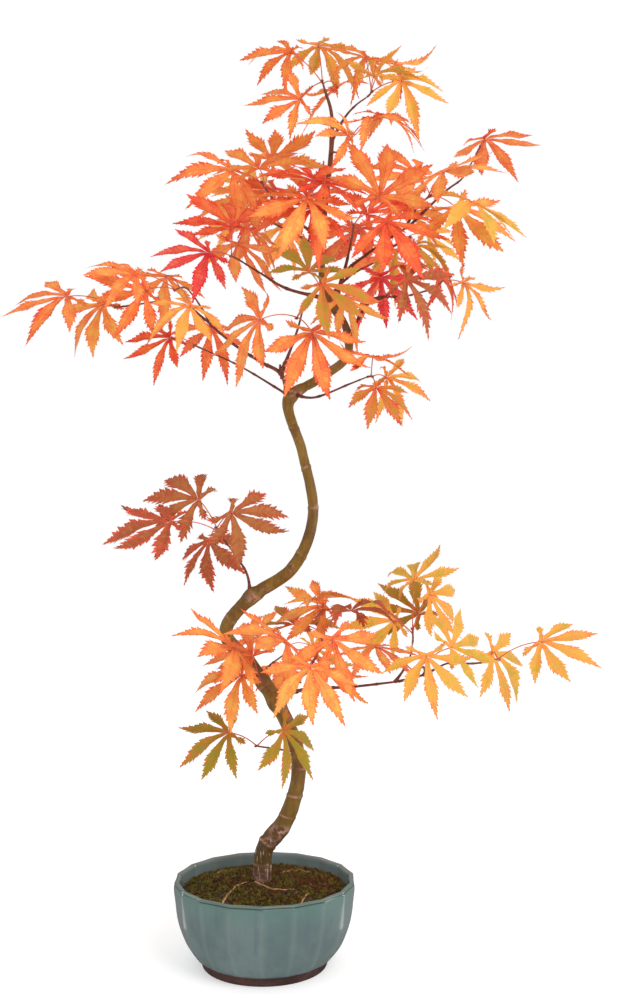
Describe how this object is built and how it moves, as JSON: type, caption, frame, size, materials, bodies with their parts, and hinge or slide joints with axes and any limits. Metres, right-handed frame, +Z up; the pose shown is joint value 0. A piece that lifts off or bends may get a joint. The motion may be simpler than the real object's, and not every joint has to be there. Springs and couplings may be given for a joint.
{
  "type": "potted japanese maple",
  "caption": "Small potted Japanese maple in autumn colour: a slender trunk with an S-bend, fine boughs with palmate leaves, in a round panelled glazed pot.",
  "frame": {"origin": "centre of the pot's flat underside", "axes": "+Z up, +X to the right of the front view and +Y to the back, so the front faces -Y"},
  "size_m": [0.4948, 0.3248, 0.788],
  "materials": {
    "glaze": "grey-green glaze",
    "soil": "moss and loose litter",
    "bark": "smooth bark",
    "twig_bark": "smooth young bark",
    "foliage_orange": "matte leaf",
    "foliage_ember": "matte leaf",
    "foliage_crimson": "matte leaf",
    "foliage_gold": "matte leaf",
    "foliage_olive": "matte leaf",
    "foliage_rust": "matte leaf"
  },
  "bodies": {
    "root": {"pot": "glaze", "soil": "soil", "trunk": "bark", "rust_twig": "twig_bark", "right_low_bough": "twig_bark", "right_low_end": "twig_bark", "right_low_twig": "twig_bark", "right_low_spur": "twig_bark", "left_mid_twig": "twig_bark", "left_long_bough": "twig_bark", "left_long_end": "twig_bark", "left_middle_twig": "twig_bark", "left_thin_bough": "twig_bark", "fork_front_twig": "twig_bark", "right_thin_twig": "twig_bark", "crown_left_bough": "twig_bark", "crown_upper_left_bough": "twig_bark", "crown_right_bough": "twig_bark", "crown_right_end": "twig_bark", "crown_right_twig": "twig_bark", "crown_right_low_twig": "twig_bark", "crown_second_limb": "twig_bark", "right_lower_bough": "twig_bark", "crimson_twig": "twig_bark", "top_right_shoot": "twig_bark", "back_left_bough": "twig_bark", "back_right_bough": "twig_bark", "low_back_twig": "twig_bark", "low_left_spray": "foliage_olive", "orange_left": "foliage_orange", "orange_right": "foliage_orange", "rust_fan": "foliage_rust", "gold_upright": "foliage_gold", "gold_middle": "foliage_gold", "gold_end": "foliage_gold", "rust_left": "foliage_rust", "left_end": "foliage_orange", "left_middle": "foliage_orange", "left_lower": "foliage_ember", "fork_front": "foliage_orange", "crown_low": "foliage_gold", "right_small": "foliage_orange", "crown_left": "foliage_orange", "crown_upper_left": "foliage_orange", "crown_centre": "foliage_ember", "crown_right_centre": "foliage_ember", "crown_right": "foliage_orange", "right_high": "foliage_orange", "crown_right_low": "foliage_gold", "crimson_right": "foliage_crimson", "right_tip": "foliage_ember", "top_left": "foliage_rust", "top_right": "foliage_gold", "top_middle": "foliage_orange", "back_left": "foliage_orange", "back_right": "foliage_orange", "low_back": "foliage_orange"}
  },
  "joints": []
}
